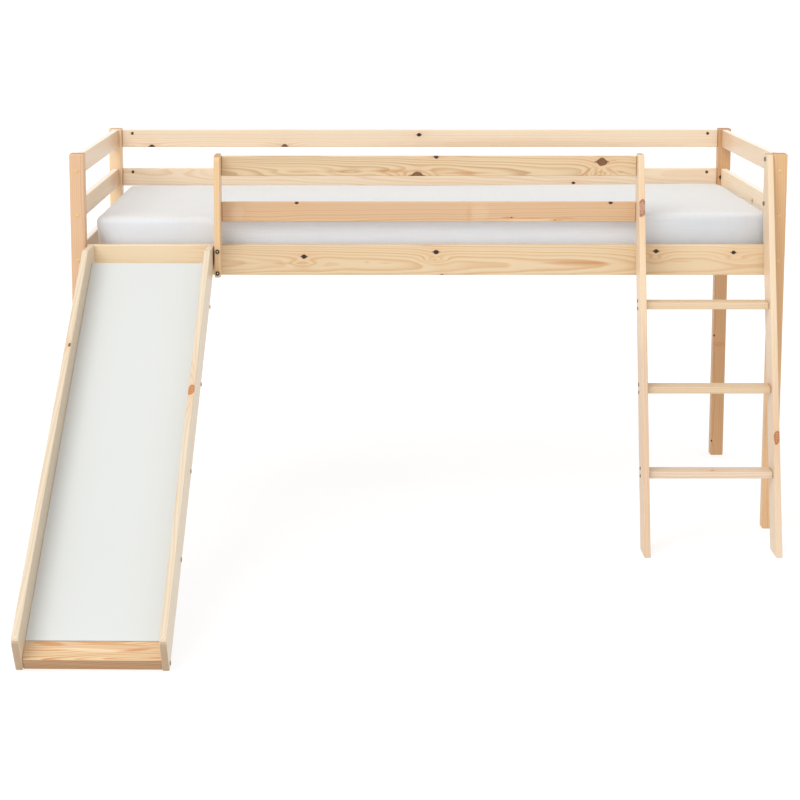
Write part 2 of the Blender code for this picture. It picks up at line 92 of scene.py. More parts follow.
class Graph:
    """Adds nodes to a node tree, with arithmetic on their sockets."""

    def __init__(self, tree):
        self.tree = tree

    def node(self, kind, **settings):
        made = self.tree.nodes.new(kind)
        for name, value in settings.items():
            setattr(made, name, value)
        return made

    def feed(self, socket, value):
        """Links a socket, or sets its value."""
        if isinstance(value, bpy.types.NodeSocket):
            self.tree.links.new(value, socket)
        else:
            socket.default_value = value

    def math(self, operation, *values):
        made = self.node("ShaderNodeMath", operation=operation)
        for socket, value in zip(made.inputs, values):
            self.feed(socket, value)
        return made.outputs[0]

    def add(self, first, second):
        return self.math("ADD", first, second)

    def sub(self, first, second):
        return self.math("SUBTRACT", first, second)

    def mul(self, first, second):
        return self.math("MULTIPLY", first, second)

    def div(self, first, second):
        return self.math("DIVIDE", first, second)

    def size(self, value):
        """A number without its sign."""
        return self.math("ABSOLUTE", value)

    def square(self, value):
        return self.mul(value, value)

    def decay(self, value):
        """Falls from 1 at 0 towards 0, ever more slowly."""
        return self.math("EXPONENT", self.mul(value, -1.0))

    def level(self, value, line):
        """A straight line's height at a value. The line is its height at 0 and its slope."""
        start, slope = line
        return self.add(start, self.mul(value, slope))

    def weigh(self, *pairs):
        """The sum of values, each times its weight."""
        total = self.mul(*pairs[0])
        for value, weight in pairs[1:]:
            total = self.add(total, self.mul(value, weight))
        return total

    def vector(self, operation, *values):
        made = self.node("ShaderNodeVectorMath", operation=operation)
        for socket, value in zip(made.inputs, values):
            self.feed(socket, value)
        return made.outputs["Value" if operation in ("DOT_PRODUCT", "LENGTH") else "Vector"]

    def dot(self, vector, axis):
        return self.vector("DOT_PRODUCT", vector, tuple(axis))

    def combine(self, x, y, z):
        made = self.node("ShaderNodeCombineXYZ")
        for socket, value in zip(made.inputs, (x, y, z)):
            self.feed(socket, value)
        return made.outputs[0]

    def split(self, vector):
        made = self.node("ShaderNodeSeparateXYZ")
        self.feed(made.inputs[0], vector)
        return made.outputs[0], made.outputs[1], made.outputs[2]

    def here(self):
        """Where a point of the surface is, in world metres."""
        return self.node("ShaderNodeTexCoord").outputs["Object"]

    def normal(self):
        return self.node("ShaderNodeTexCoord").outputs["Normal"]

    def noise(self, vector, scales, detail=2.0, rough=0.5):
        """Smooth noise about 0.5, finer along an axis the larger its scale."""
        made = self.node("ShaderNodeTexNoise")
        self.feed(made.inputs["Vector"], self.vector("MULTIPLY", vector, scales))
        made.inputs["Scale"].default_value = 1.0
        made.inputs["Detail"].default_value = detail
        made.inputs["Roughness"].default_value = rough
        return made.outputs["Fac"]

    def swing(self, vector, scales, detail=2.0, rough=0.5):
        """Smooth noise about 0."""
        return self.sub(self.noise(vector, scales, detail, rough), 0.5)

    def step(self, value, low, high):
        """Goes smoothly from 0 to 1 between two values, of which the first may be the larger."""
        made = self.node("ShaderNodeMapRange", interpolation_type="SMOOTHSTEP")
        for name, item in (("Value", value), ("From Min", low), ("From Max", high)):
            self.feed(made.inputs[name], item)
        return made.outputs[0]

    def mix(self, factor, first, second, blend="MIX"):
        """Mixes two colours."""
        made = self.node("ShaderNodeMix", data_type="RGBA", blend_type=blend)
        self.feed(made.inputs["Factor"], factor)
        self.feed(made.inputs["A"], paint(first))
        self.feed(made.inputs["B"], paint(second))
        return made.outputs["Result"]

    def tint(self, color, tone):
        """A colour times another."""
        return self.mix(1.0, color, tone, "MULTIPLY")


def paint(color):
    """A colour tuple gets its alpha, and a socket stays as it is."""
    return (*color, 1.0) if isinstance(color, tuple) and len(color) == 3 else color


def screen(red, green, blue):
    """A colour read on a screen, 0 to 255, as light."""
    return tuple(((value / 255 + 0.055) / 1.055) ** 2.4 for value in (red, green, blue))


def new_group(name, vectors, numbers, outputs):
    """A node group that takes vectors and numbers, and gives numbers."""
    tree = bpy.data.node_groups.new(name, "ShaderNodeTree")
    for labels, kind in ((vectors, "NodeSocketVector"), (numbers, "NodeSocketFloat")):
        for label in labels:
            tree.interface.new_socket(label, in_out="INPUT", socket_type=kind)
    for label in outputs:
        tree.interface.new_socket(label, in_out="OUTPUT", socket_type="NodeSocketFloat")
    graph = Graph(tree)
    source = graph.node("NodeGroupInput")
    sink = graph.node("NodeGroupOutput")
    return graph, source.outputs, sink.inputs


def use_group(graph, tree_name, **values):
    """Adds a node group by name, with its inputs set."""
    made = graph.node("ShaderNodeGroup", node_tree=bpy.data.node_groups[tree_name])
    for name, value in values.items():
        graph.feed(made.inputs[name], value)
    return made.outputs


# Growth rings: how far the pith wanders, in metres, and where in a year's growth the late wood
# starts, is full and ends. Scales of noise are along, across and through the board.
SLOW_WANDER = 0.014
SLOW_SCALES = (1.0, 4.0, 4.0)
QUICK_WANDER = 0.0020
QUICK_SCALES = (7.0, 45.0, 45.0)
HEAVE = 0.012
HEAVE_SCALES = (3.4, 1.0, 1.0)
LATEWOOD_RISE = (0.25, 0.86)
LATEWOOD_FALL = (1.0, 0.88)
LATEWOOD_STRENGTH = (0.40, 0.60)
FIBRE_SCALES = (16.0, 620.0, 620.0)


def make_grain_group():
    """Growth rings about a pith that wanders and dives through the board, and fine fibres."""
    numbers = ("Tilt", "Dive", "Ring", "Push")
    graph, source, sink = new_group("grain", ("Point", "Pith"), numbers, ("Latewood", "Fibre"))
    point = source["Point"]
    along, across, through = graph.split(graph.vector("SUBTRACT", point, source["Pith"]))
    slow = graph.swing(point, SLOW_SCALES)
    quick = graph.swing(point, QUICK_SCALES)
    heave = graph.swing(point, HEAVE_SCALES, detail=1.0)
    wander = graph.weigh((slow, SLOW_WANDER), (quick, QUICK_WANDER))
    across = graph.add(graph.add(across, graph.mul(along, source["Tilt"])), wander)
    dive = graph.weigh((along, source["Dive"]), (heave, HEAVE))
    through = graph.add(through, graph.add(dive, wander))
    radius = graph.math("SQRT", graph.add(graph.square(across), graph.square(through)))
    phase = graph.add(graph.div(radius, source["Ring"]), source["Push"])
    year = graph.math("FLOOR", phase)
    part = graph.math("FRACT", phase)
    season = graph.mul(graph.step(part, *LATEWOOD_RISE), graph.step(part, *LATEWOOD_FALL))
    chance = graph.node("ShaderNodeTexWhiteNoise", noise_dimensions="1D")
    graph.feed(chance.inputs["W"], year)
    strength = graph.level(chance.outputs["Value"], LATEWOOD_STRENGTH)
    graph.feed(sink["Latewood"], graph.mul(season, strength))
    graph.feed(sink["Fibre"], graph.noise(point, FIBRE_SCALES, detail=3.0, rough=0.65))


# A knot's outline wobbles, and it is drawn out along the grain. The core, the bark rim and the
# tips begin and end at these distances, in shares of the knot's radius.
KNOT_WOBBLE = 0.7
WOBBLE_SCALES = (90.0, 90.0, 90.0)
KNOT_DRAWN_OUT = 0.7
KNOT_CORE = (1.0, 0.78)
KNOT_RIM_INSIDE = (0.66, 0.92)
KNOT_RIM_OUTSIDE = (1.16, 0.98)
KNOT_CIRCLES = 17.0
TIP_SLOPES = (0.40, 1.1)
TIP_EDGE = (1.0, 0.74)
HALO_SLOPES = (0.16, 0.42)
PUSH_ROUNDING = 0.03
PUSH_NARROWING = 1.3


def make_knot_group():
    """A knot: how far it pushes the rings aside, and its core, bark rim, tips, halo and circles."""
    numbers = ("Radius", "Rings", "Reach", "Spread")
    outputs = ("Push", "Core", "Rim", "Tip", "Halo", "Circles")
    graph, source, sink = new_group("knot", ("Point", "Place"), numbers, outputs)
    rel = graph.vector("SUBTRACT", source["Point"], source["Place"])
    wobble = graph.swing(source["Point"], WOBBLE_SCALES)
    along, across, _ = graph.split(rel)
    near_along = graph.div(graph.size(along), source["Radius"])
    near_across = graph.div(graph.size(across), source["Radius"])
    oval = graph.add(graph.mul(graph.square(near_along), KNOT_DRAWN_OUT), graph.square(near_across))
    distance = graph.add(graph.math("SQRT", oval), graph.mul(wobble, KNOT_WOBBLE))
    core = graph.step(distance, *KNOT_CORE)
    rim = graph.mul(graph.step(distance, *KNOT_RIM_INSIDE), graph.step(distance, *KNOT_RIM_OUTSIDE))
    circles = graph.level(graph.math("SINE", graph.mul(distance, KNOT_CIRCLES)), (0.5, 0.5))
    lens = graph.weigh((near_along, TIP_SLOPES[0]), (near_across, TIP_SLOPES[1]))
    tip = graph.step(lens, *TIP_EDGE)
    halo = graph.decay(graph.weigh((near_along, HALO_SLOPES[0]), (near_across, HALO_SLOPES[1])))
    far_along = graph.div(along, source["Reach"])
    far_across = graph.div(across, source["Spread"])
    far_across = graph.math("SQRT", graph.add(graph.square(far_across), PUSH_ROUNDING))
    far = graph.add(graph.square(far_along), graph.mul(far_across, PUSH_NARROWING))
    push = graph.mul(graph.decay(far), source["Rings"])
    for name, value in zip(outputs, (push, core, rim, tip, halo, circles)):
        graph.feed(sink[name], value)


# Knots and stains lie at (along, across) from the board's middle, in metres. Rings is how many
# growth rings a knot pushes aside within its reach along and its spread across. A figure has
# no knot, and a stain is a lens that makes the wood darker or, with a negative strength, paler;
# the paler lenses on the ladder rails are painted light. A knot on an edge shows on the board's
# narrow side, and its second place is through the board.
Knot = namedtuple("Knot", "along across radius rings reach spread tone")
EdgeKnot = namedtuple("EdgeKnot", "along across radius rings reach spread tone")
Figure = namedtuple("Figure", "along across rings reach spread")
Stain = namedtuple("Stain", "along across length width strength slope", defaults=(0.0,))

# A figure's knot is too small to matter, because only its rings are used
FIGURE_RADIUS = 0.001

# An edge cuts its knots aslant, so they are drawn out along the grain and lean
EDGE_SQUEEZE = 0.6
EDGE_LEAN = -0.2

MARKS = {
    "rail_front": [
        Stain(-0.850, 0.0, 0.300, 0.400, -0.75),
        Stain(0.900, 0.0, 0.200, 0.400, -0.25),
        Knot(-0.364, 0.010, 0.0060, 0.8, 0.050, 0.020, "dark"),
        Figure(-0.369, -0.009, 3.0, 0.042, 0.012),
        Stain(-0.372, -0.010, 0.024, 0.0080, 0.22),
        Stain(-0.425, -0.010, 0.032, 0.0050, 0.32),
        Stain(-0.530, -0.010, 0.045, 0.0050, 0.22),
        Knot(0.024, 0.024, 0.0062, 0.8, 0.050, 0.018, "dark"),
        Figure(0.021, 0.001, 3.4, 0.040, 0.015),
        Stain(0.020, 0.002, 0.012, 0.0050, 0.34),
        Stain(-0.180, -0.006, 0.012, 0.0050, 0.30),
        Stain(-0.125, -0.009, 0.030, 0.0030, 0.30),
        Knot(0.042, -0.046, 0.0042, 0.6, 0.030, 0.012, "dark"),
        Stain(0.438, -0.009, 0.120, 0.0110, 0.62),
        Stain(0.470, -0.008, 0.070, 0.0060, 0.30),
        Knot(0.671, 0.026, 0.0058, 0.8, 0.050, 0.018, "dark"),
        Figure(0.668, 0.006, 2.6, 0.034, 0.014),
        Stain(0.740, -0.004, 0.045, 0.0040, 0.26),
        Knot(0.899, 0.022, 0.0050, 0.8, 0.050, 0.016, "dark"),
        Figure(0.900, 0.004, 2.2, 0.050, 0.012),
    ],
    "rail_back_top": [
        Knot(-0.905, -0.027, 0.0062, 1.4, 0.050, 0.016, "dark"),
        Knot(-0.456, -0.026, 0.0068, 1.6, 0.050, 0.016, "brown"),
        Knot(-0.003, 0.012, 0.0056, 1.2, 0.035, 0.014, "dark"),
        Stain(0.350, -0.022, 0.620, 0.026, 0.20),
    ],
    "rail_back_middle": [
        Figure(-0.800, 0.024, 2.2, 0.070, 0.018),
        Figure(-0.300, 0.004, 1.0, 0.200, 0.014),
        Knot(0.520, -0.020, 0.0044, 1.2, 0.050, 0.015, "dark"),
    ],
    "rail_back_lower": [
        Knot(-0.420, 0.012, 0.0060, 2.0, 0.060, 0.020, "dark"),
        Knot(0.610, -0.016, 0.0050, 1.8, 0.050, 0.018, "brown"),
    ],
    "guard_board_upper": [
        Knot(-0.035, -0.029, 0.0125, 5.0, 0.055, 0.022, "brown"),
        Figure(-0.100, -0.018, 1.6, 0.060, 0.010),
        Figure(-0.240, -0.017, 2.2, 0.060, 0.010),
        Figure(-0.390, -0.018, 2.0, 0.070, 0.010),
        Stain(-0.110, -0.014, 0.060, 0.0075, 0.55),
        Stain(-0.150, -0.014, 0.045, 0.0050, 0.40),
        Stain(-0.262, -0.015, 0.045, 0.0065, 0.42),
        Stain(-0.370, -0.015, 0.060, 0.0065, 0.26),
        Stain(0.110, -0.020, 0.100, 0.0055, 0.52),
        Stain(0.030, -0.012, 0.050, 0.0060, 0.30),
        Knot(0.021, 0.027, 0.0050, 0.8, 0.030, 0.012, "dark"),
        Knot(0.506, 0.0125, 0.0110, 1.4, 0.040, 0.026, "brown"),
        Figure(0.500, -0.022, 3.4, 0.034, 0.018),
        Stain(0.462, -0.016, 0.024, 0.0060, 0.60, 0.75),
        Stain(0.448, -0.026, 0.016, 0.0055, 0.55, 0.30),
        Stain(0.488, -0.017, 0.008, 0.0084, 0.60, 2.40),
        Stain(0.503, -0.020, 0.006, 0.0130, 0.50, 2.00),
        Stain(0.536, -0.015, 0.024, 0.0048, 0.58, -0.60),
        Stain(0.568, -0.018, 0.036, 0.0036, 0.50, -0.22),
        Stain(0.540, 0.0160, 0.014, 0.0040, 0.45),
    ],
    "guard_board_lower": [
        Knot(-0.388, 0.027, 0.0040, 0.6, 0.020, 0.010, "dark"),
        Knot(0.534, 0.0274, 0.0042, 0.6, 0.020, 0.010, "dark"),
        Stain(0.235, -0.0165, 0.026, 0.0030, 1.00),
        Stain(0.300, -0.0190, 0.060, 0.0030, 0.60),
        Stain(0.375, -0.0235, 0.028, 0.0030, 1.00),
        Stain(0.400, -0.0180, 0.045, 0.0025, 0.60),
        Stain(0.300, -0.0240, 0.120, 0.0060, -0.35),
        Stain(-0.562, -0.004, 0.026, 0.040, -0.16),
        Stain(0.118, -0.006, 0.012, 0.030, 0.22),
        Stain(0.150, -0.002, 0.034, 0.040, -0.14),
        Knot(0.243, -0.0165, 0.0018, 0.4, 0.020, 0.008, "dark"),
        Knot(0.371, -0.0232, 0.0014, 0.4, 0.020, 0.008, "dark"),
    ],
    "post_back_right": [
        Knot(-0.144, -0.0185, 0.0026, 0.6, 0.020, 0.012, "dark"),
        Knot(-0.512, -0.0185, 0.0024, 0.6, 0.020, 0.012, "dark"),
        Knot(0.399, -0.0120, 0.0042, 1.0, 0.024, 0.012, "dark"),
        Stain(-0.174, 0.002, 0.010, 0.060, 0.45, 0.10),
        Figure(-0.172, 0.0, 2.4, 0.020, 0.040),
    ],
    "ladder_rail_left": [
        EdgeKnot(0.420, 0.0, 0.0120, 2.4, 0.050, 0.018, "red"),
        # Paler over the upper part: painted light, falling off down the ladder
        Stain(0.450, 0.0, 0.500, 0.400, -0.60),
    ],
    "ladder_rail_right": [
        EdgeKnot(-0.246, 0.001, 0.0090, 3.4, 0.050, 0.018, "russet"),
        # Paler over the upper part: painted light, falling off down the ladder
        Stain(0.450, 0.0, 0.600, 0.400, -0.42),
    ],
    "rung_1": [Knot(0.008, -0.012, 0.0036, 1.2, 0.030, 0.012, "brown")],
    "rung_3": [Stain(0.080, -0.020, 0.080, 0.004, 0.30)],
    "slide_rail_right": [EdgeKnot(0.108, 0.0, 0.0088, 3.0, 0.050, 0.020, "orange")],
    "slide_rail_left": [EdgeKnot(0.284, 0.004, 0.0036, 1.2, 0.030, 0.012, "brown")],
    "slide_foot_board": [
        Figure(0.060, 0.010, 2.4, 0.120, 0.020),
        Figure(-0.090, -0.012, 1.8, 0.090, 0.016),
        Stain(-0.110, 0.016, 0.050, 0.0100, 0.75, -0.10),
        Stain(0.030, 0.014, 0.120, 0.0060, 0.55, -0.08),
        Stain(0.100, -0.006, 0.055, 0.0060, 0.75, 0.12),
        Stain(-0.010, -0.004, 0.110, 0.0070, -0.55, -0.06),
    ],
    "end_rail_left_top": [Stain(0.430, 0.004, 0.260, 0.120, 0.34)],
    "end_rail_left_middle": [Stain(0.430, 0.004, 0.260, 0.120, 0.34)],
    "end_rail_right_top": [Stain(0.430, 0.004, 0.240, 0.120, 0.28)],
    "end_rail_right_middle": [Knot(-0.125, -0.014, 0.0050, 1.0, 0.040, 0.014, "brown")],
    "end_rail_right_lower": [Knot(0.150, 0.015, 0.0070, 2.0, 0.060, 0.020, "brown")],
    "end_rail_left_lower": [Knot(-0.130, -0.012, 0.0060, 1.8, 0.060, 0.020, "dark")],
}

# Colours of a knot: core and bark rim
KNOT_TONES = {
    "dark": (screen(58, 30, 12), screen(22, 9, 3)),
    "brown": (screen(150, 98, 58), screen(84, 48, 26)),
    "orange": (screen(206, 142, 86), screen(176, 106, 56)),
    "red": (screen(208, 162, 130), screen(146, 98, 80)),
    "russet": (screen(210, 150, 100), screen(148, 88, 50)),
}
KNOT_HALO = screen(212, 156, 104)
STAIN_COLOR = screen(190, 126, 68)
# The colour of paler lenses: paler wood, and painted light on the ladder rails
PALE_STAIN_AND_PAINTED_LIGHT = screen(236, 214, 180)

# How strongly each part of a knot covers what lies below it, and the blotches on its core
HALO_SHARE = 0.42
TIP_SHARE = 0.80
CIRCLES_SHARE = 0.55
MOTTLE_SHARE = 0.70
RIM_SHARE = 0.85
MOTTLE_SCALES = (240.0, 300.0, 300.0)
MOTTLE_EDGE = (0.44, 0.60)

# A stain's ragged outline
RAGGED = 1.2
RAGGED_SCALES = (14.0, 200.0, 200.0)
STAIN_EDGE = (1.10, 0.15)

# Which way a face looks: where the share of its normal along an axis starts and ends to count
NARROW_FACE = (0.80, 0.50)
UPWARD_FACE = (0.60, 0.95)
END_FACE = (0.55, 0.90)
# Tint for end grain, and painted shade on the foot board's lower edge
END_GRAIN_AND_SHADE_TINT = (0.66, 0.56, 0.48)

# Clear lacquer, thicker on the end rails, whose upward faces get a painted sheen, near white
COAT = 0.35
END_COAT = 0.52
PAINTED_SHEEN_COLOR = screen(250, 243, 232)
PAINTED_SHEEN = 0.75

# Uneven tone: long streaks, fibres, and patches that shift green and blue. Each is the tone
# where its noise is 0 and what it gains where the noise is 1.
STREAK_SCALES = (0.7, 30.0, 30.0)
STREAK_TONE = (0.92, 0.16)
FIBRE_TONE = (0.94, 0.12)
PATCH_SCALES = (2.2, 9.0, 9.0)
PATCH_GREEN = (1.04, -0.08)
PATCH_BLUE = (1.10, -0.20)

# Planed and lacquered: fibres are rougher, and late wood is glossier. The bump is in metres.
FIBRE_ROUGH = (0.46, 0.16)
LATEWOOD_GLOSS = 0.10
FIBRE_HEIGHT = 0.6
LATEWOOD_HEIGHT = 0.4
PINE_BUMP = 0.00012

# Woods: early wood, late wood and how strongly it shows
PINE = (screen(216, 192, 156), screen(194, 144, 90), 0.62)
CREAM_PINE = (screen(216, 201, 177), screen(198, 161, 119), 0.50)
SHELL_PINE = (screen(236, 216, 189), screen(216, 176, 132), 0.48)
YELLOW_PINE = (screen(236, 206, 167), screen(208, 162, 108), 0.48)
OLIVE_PINE = (screen(216, 192, 156), screen(168, 122, 70), 0.62)
PINK_PINE = (screen(209, 174, 137), screen(182, 132, 88), 0.50)
ROSE_PINE = (screen(218, 181, 145), screen(194, 143, 99), 0.50)
TAN_PINE = (screen(215, 175, 129), screen(190, 138, 86), 0.50)
BLUSH_PINE = (screen(234, 209, 178), screen(214, 168, 124), 0.48)
IVORY_PINE = (screen(219, 196, 169), screen(198, 154, 114), 0.50)
PEARL_PINE = (screen(246, 227, 199), screen(222, 182, 138), 0.48)
WARM_PINE = (screen(227, 194, 151), screen(198, 149, 97), 0.50)
LADDER_PINE = (screen(213, 186, 157), screen(192, 145, 105), 0.55)
RUNG_PINE = (screen(216, 193, 161), screen(194, 150, 104), 0.52)
PALE_PINE = (screen(217, 197, 173), screen(196, 153, 116), 0.50)
ORANGE_PINE = (screen(216, 188, 149), screen(186, 124, 68), 0.90)
PLUG_PINE = (screen(224, 187, 132), screen(190, 144, 84), 0.45)
# Darker pine for the back right post: painted shade, for the shade it stands in under the bed
SHADED_POST_PINE = (screen(202, 158, 113), screen(174, 122, 76), 0.50)

# Unit vectors along the grain, across and through the boards whose names start so. In this table
# and the next, the first start that fits a name counts.
AXES = (
    ("post", (UP, RIGHT, BACK)),
    ("slat", (BACK, RIGHT, UP)),
    ("end_rail", (BACK, UP, RIGHT)),
    ("guard_upright", (UP, BACK, RIGHT)),
    ("rung", (RIGHT, BACK, UP)),
    ("ladder_rail", (LADDER_ALONG, LADDER_ACROSS, RIGHT)),
    ("slide_rail", (SLIDE_ALONG, SLIDE_SIDE.cross(SLIDE_ALONG), SLIDE_SIDE)),
    (("slide_foot", "slide_batten"), (RIGHT, SLOPE, RIGHT.cross(SLOPE))),
)
OTHER_AXES = (RIGHT, UP, BACK)

# The wood of the boards whose names start so. The rest are PINE.
WOODS = (
    ("guard_board_upper", OLIVE_PINE),
    ("guard_board_lower", PINK_PINE),
    ("post_front_right", TAN_PINE),
    ("post_back_right", SHADED_POST_PINE),
    ("post_back_left", YELLOW_PINE),
    ("post_front_left", ROSE_PINE),
    ("guard_upright", WARM_PINE),
    ("end_rail_right_middle", PEARL_PINE),
    ("end_rail", BLUSH_PINE),
    ("slide_foot_board", ORANGE_PINE),
    ("plug", PLUG_PINE),
    ("ladder_rail_right", IVORY_PINE),
    ("ladder", LADDER_PINE),
    ("rung_1", PALE_PINE),
    (("rung", "slat", "ledger", "slide_batten"), RUNG_PINE),
    ("slide_rail", CREAM_PINE),
    ("rail_back", SHELL_PINE),
)

# How the boards that face the camera were cut: the pith's place across and through the board,
# how fast it dives, and the width of a ring, in metres
CUTS = {
    "rail_front": (-0.012, 0.046, -0.016, 0.0040),
    "guard_board_upper": (-0.020, 0.040, -0.026, 0.0036),
    "guard_board_lower": (-0.050, 0.050, 0.010, 0.0042),
    "slide_foot_board": (-0.030, 0.024, 0.050, 0.0050),
    "rail_back_middle": (0.020, 0.060, 0.016, 0.0044),
    "rail_back_top": (-0.060, 0.040, 0.008, 0.0044),
}

# The ranges that the other boards' cuts are drawn from, and every board's tilt and tone
PITH_ACROSS = (0.020, 0.080)
PITH_THROUGH = (0.03, 0.06)
PITH_DIVE = (-0.02, 0.02)
RING_WIDTH = 0.0040
GRAIN_TILT = (-0.010, 0.010)
TONE_ALONG = (0, 40)
TONE_THROUGH = (0, 4)

# Smooth off-white laminate, faintly cloudy
LAMINATE_TONES = (screen(202, 204, 202), screen(211, 213, 211))
LAMINATE_CLOUD = (3.0, 2.0, 2.0)
LAMINATE_SPECK = (420.0, 420.0, 420.0)
LAMINATE_ROUGH = (0.30, 0.12)
LAMINATE_BUMP = 0.00003

# Metals: light tone, dark tone and roughness
BLACK_STEEL = ((0.060, 0.055, 0.050), (0.020, 0.018, 0.016), 0.30)
DULL_ZINC = ((0.42, 0.34, 0.24), (0.22, 0.17, 0.11), 0.38)
OLIVE_ZINC = ((0.17, 0.13, 0.07), (0.07, 0.05, 0.03), 0.38)
METAL_STAIN_SCALES = (260.0, 260.0, 260.0)
METAL_STAIN_EDGE = (0.35, 0.65)
SCRATCH_SCALES = (1800.0, 300.0, 300.0)
SCRATCH_ROUGH = 0.2
METAL_BUMP = 0.00002

# The painted highlight in a bolt's socket: its colour, and how far from the bolt's middle it fades in,
# in metres
SOCKET_HIGHLIGHT_COLOR = (0.80, 0.78, 0.75)
SOCKET_HIGHLIGHT_EDGE = (0.0026, 0.0018)

SHADER_SOCKETS = {
    "metallic": "Metallic",
    "specular": "Specular IOR Level",
    "coat": "Coat Weight",
    "coat_rough": "Coat Roughness",
    "sheen": "Sheen Weight",
}


def new_material(name):
    made = bpy.data.materials.new(name)
    made.use_nodes = True
    return made, Graph(made.node_tree)


def set_shader(graph, color, rough, **constants):
    """Feeds the shader its colour and roughness, and sets constants on its own sockets."""
    shader = graph.tree.nodes["Principled BSDF"]
    graph.feed(shader.inputs["Base Color"], color)
    graph.feed(shader.inputs["Roughness"], rough)
    for name, value in constants.items():
        shader.inputs[SHADER_SOCKETS[name]].default_value = value
    return shader


def add_bump(graph, shader, height, depth):
    """Bumps a shader by a height from 0 to 1 that stands for a depth in metres."""
    bump = graph.node("ShaderNodeBump")
    bump.inputs["Distance"].default_value = depth
    bump.inputs["Strength"].default_value = 1.0
    graph.feed(bump.inputs["Height"], height)
    graph.feed(shader.inputs["Normal"], bump.outputs[0])


def pick(table, name, other):
    """What a table holds for the first start that fits a name."""
    return next((found for start, found in table if name.startswith(start)), other)


def middle_of(name):
    """The middle of a CAD node's box."""
    low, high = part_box(name)
    return tuple((low + high) / 2)


def draw_cut(name, chance):
    """A board's cut. The draws are made for every board, also where the cut is known."""
    side = chance.choice((-1, 1))
    across = side * chance.uniform(*PITH_ACROSS)
    guess = (across, chance.uniform(*PITH_THROUGH), chance.uniform(*PITH_DIVE), RING_WIDTH)
    return CUTS.get(name, guess)


def find_knots(graph, name, point, edge_point):
    """How many rings a board's knots and figures push aside, and where each of its knots is."""
    push = 0.0
    knots = []
    for mark in MARKS.get(name, []):
        if isinstance(mark, Stain):
            continue
        on_edge = isinstance(mark, EdgeKnot)
        found = use_group(
            graph,
            "knot",
            Point=edge_point if on_edge else point,
            Place=(mark.along * (EDGE_SQUEEZE if on_edge else 1.0), mark.across, 0.0),
            Radius=getattr(mark, "radius", FIGURE_RADIUS),
            Rings=mark.rings,
            Reach=mark.reach,
            Spread=mark.spread,
        )
        push = graph.add(push, found["Push"])
        if not isinstance(mark, Figure):
            knots.append((found, KNOT_TONES[mark.tone], on_edge))
    return push, knots


def add_stain(graph, point, color, stain):
    """A lens that makes the wood darker or paler; the paler lenses on the ladder rails are painted
    light.
    """
    rel = graph.vector("SUBTRACT", point, (stain.along, stain.across, 0.0))
    along, across, _ = graph.split(rel)
    ragged = graph.mul(graph.swing(point, RAGGED_SCALES, *FINE), RAGGED)
    across = graph.sub(across, graph.mul(along, stain.slope))
    far_along = graph.div(along, stain.length)
    far_across = graph.div(graph.size(across), stain.width)
    far = graph.add(graph.add(graph.square(far_along), far_across), ragged)
    shown = graph.mul(graph.step(far, *STAIN_EDGE), abs(stain.strength))
    return graph.mix(shown, color, STAIN_COLOR if stain.strength > 0 else PALE_STAIN_AND_PAINTED_LIGHT)


def add_knots(graph, point, wide, color, knots):
    """Paints knots: halo, pointed tips, ringed and mottled core, and bark rim."""
    if not knots:
        return color
    narrow = graph.step(wide, *NARROW_FACE)
    mottle = graph.step(graph.noise(point, MOTTLE_SCALES, *FINE), *MOTTLE_EDGE)
    for found, (core, rim), on_edge in knots:
        shown = narrow if on_edge else 1.0
        color = graph.mix(graph.mul(graph.mul(found["Halo"], HALO_SHARE), shown), color, KNOT_HALO)
        if not on_edge:
            color = graph.mix(graph.mul(found["Tip"], TIP_SHARE), color, rim)
        ringed = graph.mix(graph.mul(found["Circles"], CIRCLES_SHARE), core, rim)
        ringed = graph.mix(graph.mul(mottle, MOTTLE_SHARE), ringed, rim)
        color = graph.mix(graph.mul(found["Core"], shown), color, ringed)
        color = graph.mix(graph.mul(graph.mul(found["Rim"], RIM_SHARE), shown), color, rim)
    return color


